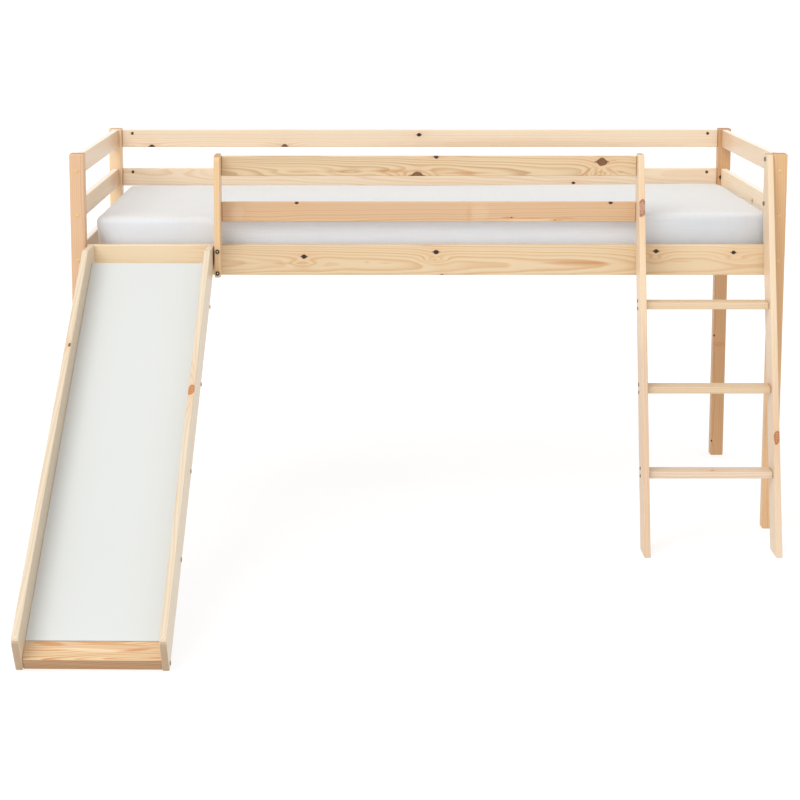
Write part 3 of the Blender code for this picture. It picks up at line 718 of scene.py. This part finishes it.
def pine_material(name, wood, chance):
    """Pine for one board, cut from its own place in a log, with the board's own knots."""
    early, late, contrast = wood
    made, graph = new_material("pine_" + name)
    normal = graph.normal()
    rel = graph.vector("SUBTRACT", graph.here(), middle_of(name))
    axes = pick(AXES, name, OTHER_AXES)
    along, across, through = (graph.dot(rel, axis) for axis in axes)
    point = graph.combine(along, across, through)
    leaning = graph.weigh((along, EDGE_SQUEEZE), (through, EDGE_LEAN))
    edge_point = graph.combine(leaning, through, across)

    pith_across, pith_through, dive, ring = draw_cut(name, chance)
    moved = (chance.uniform(*TONE_ALONG), 0.0, chance.uniform(*TONE_THROUGH))
    seeded = graph.vector("ADD", point, moved)
    push, knots = find_knots(graph, name, point, edge_point)
    grain = use_group(
        graph,
        "grain",
        Point=point,
        Pith=(0.0, pith_across, pith_through),
        Tilt=chance.uniform(*GRAIN_TILT),
        Dive=dive,
        Ring=ring,
        Push=push,
    )
    latewood = graph.mul(grain["Latewood"], contrast)
    fibre = grain["Fibre"]

    streak = graph.noise(seeded, STREAK_SCALES, *FINE)
    patch = graph.noise(seeded, PATCH_SCALES)
    tone = graph.mul(graph.level(streak, STREAK_TONE), graph.level(fibre, FIBRE_TONE))
    green = graph.mul(tone, graph.level(patch, PATCH_GREEN))
    blue = graph.mul(tone, graph.level(patch, PATCH_BLUE))
    color = graph.tint(graph.mix(latewood, early, late), graph.combine(tone, green, blue))
    for mark in MARKS.get(name, []):
        if isinstance(mark, Stain):
            color = add_stain(graph, point, color, mark)
    color = add_knots(graph, point, graph.size(graph.dot(normal, axes[2])), color, knots)
    on_end_rail = name.startswith("end_rail")
    if on_end_rail:
        # Painted sheen: the end rails' upward faces are painted near white
        upward = graph.step(graph.split(normal)[2], *UPWARD_FACE)
        color = graph.mix(graph.mul(upward, PAINTED_SHEEN), color, PAINTED_SHEEN_COLOR)
    # Boards are darker at their ends, and the foot board along its lower edge, where the darkening is
    # painted shade
    darker = axes[1] if name == "slide_foot_board" else axes[0]
    end = graph.step(graph.size(graph.dot(normal, darker)), *END_FACE)
    color = graph.mix(end, color, graph.tint(color, END_GRAIN_AND_SHADE_TINT))

    rough = graph.sub(graph.level(fibre, FIBRE_ROUGH), graph.mul(latewood, LATEWOOD_GLOSS))
    coat = END_COAT if on_end_rail else COAT
    shader = set_shader(graph, color, rough, specular=0.30, coat=coat, coat_rough=0.30)
    height = graph.weigh((fibre, FIBRE_HEIGHT), (latewood, LATEWOOD_HEIGHT))
    add_bump(graph, shader, height, PINE_BUMP)
    return made


def laminate_material():
    """Smooth off-white laminate with a faint cloudy gloss."""
    made, graph = new_material("laminate")
    here = graph.here()
    cloud = graph.noise(here, LAMINATE_CLOUD, 3.0)
    speck = graph.noise(here, LAMINATE_SPECK)
    color = graph.mix(graph.weigh((cloud, 0.5), (speck, 0.5)), *LAMINATE_TONES)
    shader = set_shader(graph, color, graph.level(cloud, LAMINATE_ROUGH), specular=0.5)
    add_bump(graph, shader, speck, LAMINATE_BUMP)
    return made


def metal_material(name, light, dark, rough, bolt=None):
    """Coated metal with small stains and brushed scratches, and a painted highlight in a bolt's socket.
    """
    made, graph = new_material(name)
    here = graph.here()
    stain = graph.noise(here, METAL_STAIN_SCALES, 3.0)
    scratch = graph.noise(here, SCRATCH_SCALES)
    color = graph.mix(graph.step(stain, *METAL_STAIN_EDGE), dark, light)
    if bolt:
        # Painted highlight: the socket is made bright
        off = graph.vector("SUBTRACT", here, middle_of(bolt))
        off = graph.vector("LENGTH", graph.vector("MULTIPLY", off, (1.0, 0.0, 1.0)))
        color = graph.mix(graph.step(off, *SOCKET_HIGHLIGHT_EDGE), color, SOCKET_HIGHLIGHT_COLOR)
    shader = set_shader(graph, color, graph.level(scratch, (rough, SCRATCH_ROUGH)), metallic=1.0)
    add_bump(graph, shader, scratch, METAL_BUMP)
    return made


# Woven cover: its threads, in metres, its slubs and clouds, and the tones of its sides and its top,
# painted light and shade: cooler, lighter sides and a darker top
THREAD_PITCH = 0.0011
THREAD_WANDER = 0.0016
WANDER_SCALES = (30.0, 30.0, 30.0)
THREAD_SLANT = 0.02
SLUB_SCALES_X = (8.0, 480.0, 480.0)
SLUB_SCALES_Y = (480.0, 9.0, 9.0)
SLUB_EDGE = (0.35, 0.65)
CLOUD_SCALES = (5.0, 5.0, 9.0)
COVER_SIDE_PAINTED_TONES = (screen(215, 219, 224), screen(229, 232, 237))
COVER_TOP_PAINTED_TONES = (screen(207, 206, 205), screen(221, 220, 218))
COVER_ROUGH = (0.95, -0.15)
COVER_BUMP = 0.00030

# How flat a face lies, where the top's weave and the top's tones take over
TOP_WEAVE = (0.5, 0.8)
TOP_TONES = (0.15, 0.98)

# Painted light and shade: the cover's sides get lighter and then darker between these places along the
# bed, lighter behind the guard boards and darker towards the right end
PAINTED_LIGHT_FROM = (-0.68, -0.55)
PAINTED_LIGHT = 0.10
PAINTED_SHADE_FROM = (0.56, 0.80)
PAINTED_SHADE = 0.24


def weave_material():
    """Plain-woven off-white cloth: crossing threads, slubs and a soft sheen, with painted light and
    shade on its sides and top.
    """
    made, graph = new_material("woven_cover")
    here = graph.here()
    x, y, z = graph.split(here)
    flat = graph.size(graph.split(graph.normal())[2])
    on_top = graph.step(flat, *TOP_WEAVE)
    wander = graph.mul(graph.swing(here, WANDER_SCALES), THREAD_WANDER)
    turns = math.tau / THREAD_PITCH
    across = graph.mul(graph.add(graph.add(x, wander), graph.mul(y, THREAD_SLANT)), turns)
    run = graph.weigh((y, on_top), (z, graph.sub(1.0, on_top)))
    down = graph.mul(graph.add(run, wander), turns)
    crossing = graph.mul(graph.math("SINE", across), graph.math("SINE", down))
    threads = graph.level(crossing, (0.5, 0.5))
    slub_x = graph.noise(here, SLUB_SCALES_X, *FINE)
    slub_y = graph.noise(here, SLUB_SCALES_Y, *FINE)
    slub = graph.mul(graph.add(slub_x, slub_y), 0.5)
    cloud = graph.noise(here, CLOUD_SCALES, *FINE)
    tone = graph.weigh((threads, 0.30), (graph.step(slub, *SLUB_EDGE), 0.40), (cloud, 0.30))
    # Painted light and shade along the cover's sides
    painted_lighter = graph.mul(graph.step(x, *PAINTED_LIGHT_FROM), PAINTED_LIGHT)
    darker = graph.mul(graph.step(x, *PAINTED_SHADE_FROM), PAINTED_SHADE)
    shade = graph.sub(graph.add(1.0, painted_lighter), darker)
    side_color = graph.tint(graph.mix(tone, *COVER_SIDE_PAINTED_TONES), graph.combine(shade, shade, shade))
    top_color = graph.mix(tone, *COVER_TOP_PAINTED_TONES)
    # Painted light and shade: the sides and the top get their own tones
    color = graph.mix(graph.step(flat, *TOP_TONES), side_color, top_color)
    shader = set_shader(graph, color, graph.level(slub, COVER_ROUGH), specular=0.12, sheen=0.30)
    add_bump(graph, shader, graph.weigh((threads, 0.5), (slub, 0.5)), COVER_BUMP)
    return made


def floor_material():
    """Plain pale studio floor, lit from below so that shadows on it stay faint."""
    made, graph = new_material("pale_floor")
    cloud = graph.noise(graph.here(), FLOOR_SCALES)
    dark, light = FLOOR_TONES
    color = graph.mix(cloud, (dark,) * 3, (light,) * 3)
    shader = set_shader(graph, color, FLOOR_ROUGH, specular=0.1)
    shader.inputs["Emission Color"].default_value = (1.0, 1.0, 1.0, 1.0)
    shader.inputs["Emission Strength"].default_value = FLOOR_GLOW
    return made


def dress(name, finish):
    """Gives a CAD node a finish."""
    mesh = nodes[name].data
    mesh.materials.clear()
    mesh.materials.append(finish)


def dress_nodes():
    """Gives each CAD node its finish, and each board its own cut of pine."""
    make_grain_group()
    make_knot_group()
    laminate = laminate_material()
    black = metal_material("black_steel", *BLACK_STEEL)
    dull = metal_material("dull_zinc", *DULL_ZINC)
    nut = metal_material("olive_zinc", *OLIVE_ZINC)
    for index, name in enumerate(sorted(nodes)):
        if name == "mattress":
            continue
        if name == "slide_panel":
            dress(name, laminate)
        elif name.startswith("guard_bolt"):
            dress(name, metal_material("steel_" + name, *BLACK_STEEL, bolt=name))
        elif name.startswith("ladder_bolt"):
            dress(name, dull)
        elif name.startswith("barrel_nut"):
            dress(name, nut)
        else:
            dress(name, pine_material(name, pick(WOODS, name, PINE), random.Random(index)))
    return black, dull


def add_object(name, data):
    """Puts an object with this mesh, light or camera in the scene."""
    made = bpy.data.objects.new(name, data)
    bpy.context.scene.collection.objects.link(made)
    return made


def add_mesh(name, bm, finish):
    """Turns a bmesh into an object."""
    mesh = bpy.data.meshes.new(name)
    bm.to_mesh(mesh)
    bm.free()
    mesh.materials.append(finish)
    return add_object(name, mesh)


def add_piece(name, bm, finish):
    """Turns a bmesh into a piece that rides on the bed."""
    piece = add_mesh(name, bm, finish)
    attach(piece, "root")
    return piece


# The mattress cover, in world metres: its box, the box that it stays in, its rounded corners and
# edges, its cells, and how much smaller it starts
COVER_LOW = Vector((-0.990, 0.2124, 0.8158))
COVER_HIGH = Vector((1.014, 1.1094, 0.9370))
COVER_LIMIT_LOW = Vector((-0.996, 0.2090, 0.8156))
COVER_LIMIT_HIGH = Vector((1.0152, 1.1118, 0.9510))
LEFT_CORNER = 0.034
RIGHT_CORNER = 0.022
LEFT_EDGE = 0.021
RIGHT_EDGE = 0.016
EDGE_ROWS = (0.0, 0.30, 0.65, 1.0)
COVER_CELL = 0.018
COVER_SHRINK = 0.002

# The cloth's settings and frames, and how far the simulation may move a point, in metres
CLOTH = {
    "quality": 6,
    "mass": 0.3,
    "tension_stiffness": 18.0,
    "compression_stiffness": 14.0,
    "shear_stiffness": 8.0,
    "bending_stiffness": 1.2,
    "use_pressure": True,
    "uniform_pressure_force": 3.0,
}
CLOTH_FRAMES = 20
COVER_CAP = 0.0050

# How the cover rises towards its right end, less at the back, in metres
COVER_RISE = 0.012
RISE_MIDDLE = 0.25
RISE_STEEPNESS = 7.0
BACK_START = 0.93
BACK_WIDTH = 0.18
BACK_LOSS = 0.75

# How far the cover is drawn in under its left and right corners
LEFT_PINCH = 0.026
RIGHT_PINCH = 0.008
PINCH_REACH = 0.10
PINCH_POWER = 1.5

# Waves on the top, and creases on the ends and sides beyond these places along and across the
# bed: height in metres, scales of noise and where the noise starts
BROAD_WAVE = (0.0016, (1.7, 2.3, 0.0), (3.0, 0.0, 0.0))
SMALL_WAVE = (0.0006, (7.0, 9.0, 0.0), (0.0, 0.0, 2.0))
END_CREASE = (0.0012, (26.0, 26.0, 5.0), (0.0, 0.0, 7.0))
SIDE_CREASE = (0.0010, (26.0, 26.0, 5.0), (0.0, 0.0, 7.0))
CREASED_END = 0.93
CREASED_FRONT = 0.26
CREASED_BACK = 1.06


def grid_lines(low, high, edge):
    """Places along one side: close together at its ends, then evenly spaced."""
    ends = [share * edge for share in EDGE_ROWS]
    count = max(2, round((high - low - 2 * edge) / COVER_CELL))
    middle = [low + edge + (high - low - 2 * edge) * i / count for i in range(1, count)]
    return [low + e for e in ends] + middle + [high - e for e in reversed(ends)]


def rounded_place(place, low, high):
    """Moves a point of a box onto a box with rounded corners and top and bottom edges."""
    middle = (low + high) / 2
    half = (high - low) / 2
    x, y, z = place - middle
    corner = LEFT_CORNER if x < 0 else RIGHT_CORNER
    edge = LEFT_EDGE + (RIGHT_EDGE - LEFT_EDGE) * (0.5 + 0.5 * x / half.x)
    inner = Vector((half.x - corner, half.y - corner))
    over = Vector((max(abs(x) - inner.x, 0.0), max(abs(y) - inner.y, 0.0)))
    if over.x > 0 and over.y > 0:
        depth = max(over.x, over.y)
        out = over.normalized()
        flat = inner + out * depth
        room = corner - depth
    else:
        flat = Vector((abs(x), abs(y)))
        gap_x, gap_y = half.x - abs(x), half.y - abs(y)
        out = Vector((1.0, 0.0)) if gap_x < gap_y else Vector((0.0, 1.0))
        room = min(gap_x, gap_y)
    beside = edge - room
    above = abs(z) - (half.z - edge)
    height = abs(z)
    if beside > 0 and above > 0:
        turned = Vector((beside, above)).normalized() * max(beside, above)
        flat = flat + out * (turned.x - beside)
        height = half.z - edge + turned.y
    signs = [math.copysign(1.0, value) for value in (x, y, z)]
    return middle + Vector((signs[0] * flat.x, signs[1] * flat.y, signs[2] * height))


def cover_mesh(low, high):
    """A rounded box of small square cells."""
    lines = [grid_lines(low[i], high[i], LEFT_EDGE) for i in range(3)]
    last = [len(line) - 1 for line in lines]
    bm = bmesh.new()
    made = {}

    def corner(key):
        if key not in made:
            place = Vector((lines[0][key[0]], lines[1][key[1]], lines[2][key[2]]))
            made[key] = bm.verts.new(rounded_place(place, low, high))
        return made[key]

    for axis in range(3):
        first, second = (axis + 1) % 3, (axis + 2) % 3
        for end in (0, last[axis]):
            for i in range(last[first]):
                for j in range(last[second]):
                    keys = []
                    for di, dj in ((0, 0), (1, 0), (1, 1), (0, 1)):
                        key = [0, 0, 0]
                        key[axis], key[first], key[second] = end, i + di, j + dj
                        keys.append(tuple(key))
                    if end == 0:
                        keys.reverse()
                    bm.faces.new([corner(key) for key in keys])
    return bm


def blow_up(piece):
    """Simulates the cover as cloth under a little pressure, and keeps the result in its mesh."""
    scene = bpy.context.scene
    start = [vertex.co.copy() for vertex in piece.data.vertices]
    cloth = piece.modifiers.new("cloth", "CLOTH")
    for name, value in CLOTH.items():
        setattr(cloth.settings, name, value)
    cloth.settings.effector_weights.gravity = 0.0
    cloth.collision_settings.use_collision = False
    cloth.point_cache.frame_start = 1
    cloth.point_cache.frame_end = CLOTH_FRAMES
    for number in range(1, CLOTH_FRAMES + 1):
        scene.frame_set(number)
    shaped = piece.evaluated_get(bpy.context.evaluated_depsgraph_get())
    moved = [vertex.co.copy() for vertex in shaped.to_mesh().vertices]
    shaped.to_mesh_clear()
    piece.modifiers.remove(cloth)
    scene.frame_set(1)
    for vertex, old, new in zip(piece.data.vertices, start, moved):
        step = new - old
        if step.length > COVER_CAP:
            step = step.normalized() * COVER_CAP
        vertex.co = old + step


def ripple(place, wave):
    """The height of a wave or crease at a place."""
    height, scales, start = wave
    return height * noise.noise(Vector([place[i] * scales[i] + start[i] for i in range(3)]))


def settle(piece):
    """Lays the cover on the slats: uneven on top, creased at its sides, drawn in at its corners."""
    middle_y = (COVER_LOW.y + COVER_HIGH.y) / 2
    thickness = COVER_HIGH.z - COVER_LOW.z
    for vertex in piece.data.vertices:
        x, y, z = vertex.co
        near_x = min(x - COVER_LOW.x, COVER_HIGH.x - x)
        near_y = min(y - COVER_LOW.y, COVER_HIGH.y - y)
        near = 1.0 - max(near_x, near_y, 0.0) / PINCH_REACH
        low = (COVER_HIGH.z - z) / thickness
        if near > 0 and low > 0:
            most = LEFT_PINCH if x < 0 else RIGHT_PINCH
            pinch = most * near * near * (3.0 - 2.0 * near) * low ** PINCH_POWER
            vertex.co.x -= math.copysign(pinch, x)
            vertex.co.y -= math.copysign(pinch, y - middle_y)
        place = vertex.co.copy()
        lift = min(max((place.z - COVER_LOW.z) / thickness, 0.0), 1.0)
        right_end = 1.0 / (1.0 + math.exp(-(place.x - RISE_MIDDLE) * RISE_STEEPNESS))
        back_edge = min(max((place.y - BACK_START) / BACK_WIDTH, 0.0), 1.0)
        rise = COVER_RISE * right_end * (1.0 - BACK_LOSS * back_edge * back_edge)
        vertex.co.z += lift * (rise + ripple(place, BROAD_WAVE) + ripple(place, SMALL_WAVE))
        halfway = 1.0 - abs(2.0 * lift - 1.0)
        if abs(place.x) > CREASED_END:
            vertex.co.x += math.copysign(1.0, place.x) * ripple(place, END_CREASE) * halfway
        if place.y < CREASED_FRONT or place.y > CREASED_BACK:
            vertex.co.y += math.copysign(1.0, place.y - middle_y) * ripple(place, SIDE_CREASE) * halfway
        for i in range(3):
            vertex.co[i] = min(max(vertex.co[i], COVER_LIMIT_LOW[i]), COVER_LIMIT_HIGH[i])


def add_mattress():
    """The woven cover, tight over its foam."""
    shrink = Vector((COVER_SHRINK, COVER_SHRINK, 0.0))
    low = COVER_LOW + shrink
    high = COVER_HIGH - shrink - Vector((0.0, 0.0, COVER_SHRINK))
    piece = add_piece("mattress_cover", cover_mesh(low, high), weave_material())
    blow_up(piece)
    settle(piece)
    finer = piece.modifiers.new("finer", "SUBSURF")
    finer.levels = finer.render_levels = 1
    shaped = piece.evaluated_get(bpy.context.evaluated_depsgraph_get())
    mesh = bpy.data.meshes.new_from_object(shaped)
    piece.modifiers.remove(finer)
    old = piece.data
    piece.data = mesh
    bpy.data.meshes.remove(old)
    mesh.name = "mattress_cover"
    mesh.shade_smooth()
    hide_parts("mattress")


# Fastener heads: radius, height and the half width of the hex socket, in metres
SLIDE_HEAD = (0.0060, 0.0018, 0.0024)
SCREW_HEAD = (0.0052, 0.0012, 0.0016)
HEAD_SIDES = 24

# A head's profile, from the face that it sits on to the bottom of its socket: what its rings are
# measured by, and their shares of that and of the head's height
HEAD_PROFILE = (
    ("radius", 1.0, 0.0),
    ("radius", 1.0, 0.55),
    ("radius", 0.93, 0.85),
    ("radius", 0.78, 1.0),
    ("socket", 1.15, 1.0),
    ("socket", 1.0, 0.92),
    ("socket", 1.0, 0.25),
)

# Places of the slide's bolts: metres down the rail's top edge, and up from it
SLIDE_BOLTS = ((0.116, -0.114), (0.4425, -0.109), (0.7875, -0.094), (1.0945, -0.094), (1.4175, -0.100))

# Middles of the ladder's screw pairs, in world y and z, the distance between a pair's screws,
# and the outer faces of the ladder's rails, in world x, with the way they look
RUNG_SCREWS = ((0.107, 0.690), (0.047, 0.453), (-0.022, 0.2205))
SCREW_GAP = 0.022
LADDER_SIDES = (("left", 0.6112, -1), ("right", 1.0047, 1))


def add_heads(name, places, out, size, finish):
    """Round heads with a hex socket, as one piece, on a face that looks along out."""
    radius, height, socket = size
    turn = out.to_track_quat("Z", "Y")
    bm = bmesh.new()
    for place in places:
        loops = []
        for kind, share, rise in HEAD_PROFILE:
            loop = []
            for i in range(HEAD_SIDES):
                angle = math.tau * i / HEAD_SIDES
                if kind == "radius":
                    reach = share * radius
                else:
                    off_flat = (angle + math.pi / 6) % (math.pi / 3) - math.pi / 6
                    reach = share * socket / math.cos(off_flat)
                local = Vector((reach * math.cos(angle), reach * math.sin(angle), rise * height))
                loop.append(bm.verts.new(place + turn @ local))
            loops.append(loop)
        for lower, upper in zip(loops, loops[1:]):
            for i in range(HEAD_SIDES):
                j = (i + 1) % HEAD_SIDES
                bm.faces.new((lower[i], lower[j], upper[j], upper[i]))
        bm.faces.new(loops[-1])
        bm.faces.new(list(reversed(loops[0])))
    add_piece(name, bm, finish)


def slide_place(side, down, up):
    """A point on the slide: metres from its left face, down its slope and up from its top edge."""
    back = SLIDE_TOP[0] - down * math.cos(SLIDE_SLOPE) - up * math.sin(SLIDE_SLOPE)
    z = SLIDE_TOP[1] - down * math.sin(SLIDE_SLOPE) + up * math.cos(SLIDE_SLOPE)
    x = SLIDE_CORNER[0] + side * math.cos(SLIDE_TURN) - back * math.sin(SLIDE_TURN)
    y = SLIDE_CORNER[1] + side * math.sin(SLIDE_TURN) + back * math.cos(SLIDE_TURN)
    return Vector((x, y, z))


def add_fasteners(black, dull):
    """Bolt heads along the slide's sides and screw heads at the ends of the rungs."""
    for name, reach, out in (("left", 0.0, -SLIDE_SIDE), ("right", SLIDE_WIDTH, SLIDE_SIDE)):
        places = [slide_place(reach, down, up) for down, up in SLIDE_BOLTS]
        add_heads(f"slide_bolts_{name}", places, out, SLIDE_HEAD, dull)
    away = LADDER_ALONG * SCREW_GAP / 2
    for name, x, way in LADDER_SIDES:
        out = Vector((way, 0, 0))
        places = []
        for y, z in RUNG_SCREWS:
            middle = Vector((x, y, z))
            places += [middle - away, middle + away]
        add_heads(f"rung_screws_{name}", places, out, SCREW_HEAD, black)


def add_floor():
    """A wide level floor, which isn't part of the bed."""
    bm = bmesh.new()
    bmesh.ops.create_grid(bm, x_segments=FLOOR_CELLS, y_segments=FLOOR_CELLS, size=FLOOR_SIZE / 2)
    floor = add_mesh("floor", bm, floor_material())


def add_light():
    """A white sky all round, and a soft key light from the left, above and in front."""
    world = bpy.data.worlds.new("studio")
    world.use_nodes = True
    graph = Graph(world.node_tree)
    sky = world.node_tree.nodes["Background"]
    sky.inputs["Color"].default_value = (1.0, 1.0, 1.0, 1.0)
    height = graph.split(graph.node("ShaderNodeTexCoord").outputs["Generated"])[2]
    rise = graph.mul(graph.math("MAXIMUM", height, 0.0), SKY_OVERHEAD - SKY_LOW)
    rim = graph.mul(graph.step(height, *SKY_RIM_FADE), SKY_RIM)
    graph.feed(sky.inputs["Strength"], graph.add(graph.add(rise, rim), SKY_LOW))
    bpy.context.scene.world = world
    sun = bpy.data.lights.new("key", "SUN")
    sun.energy = KEY_STRENGTH
    sun.angle = KEY_SOFTNESS
    add_object("key", sun).rotation_euler = (KEY_TILT, 0, KEY_TURN)


def add_camera():
    """A camera in front of the bed, looking slightly down."""
    data = bpy.data.cameras.new("camera")
    data.lens = CAMERA_LENS
    data.shift_x, data.shift_y = CAMERA_SHIFT
    camera = add_object("camera", data)
    camera.location = CAMERA_PLACE
    camera.rotation_euler = (math.pi / 2 - CAMERA_PITCH, 0, 0)
    bpy.context.scene.camera = camera


bpy.context.scene.view_settings.view_transform = "Standard"
black_steel, dull_zinc = dress_nodes()
add_mattress()
add_fasteners(black_steel, dull_zinc)
add_floor()
add_light()
add_camera()
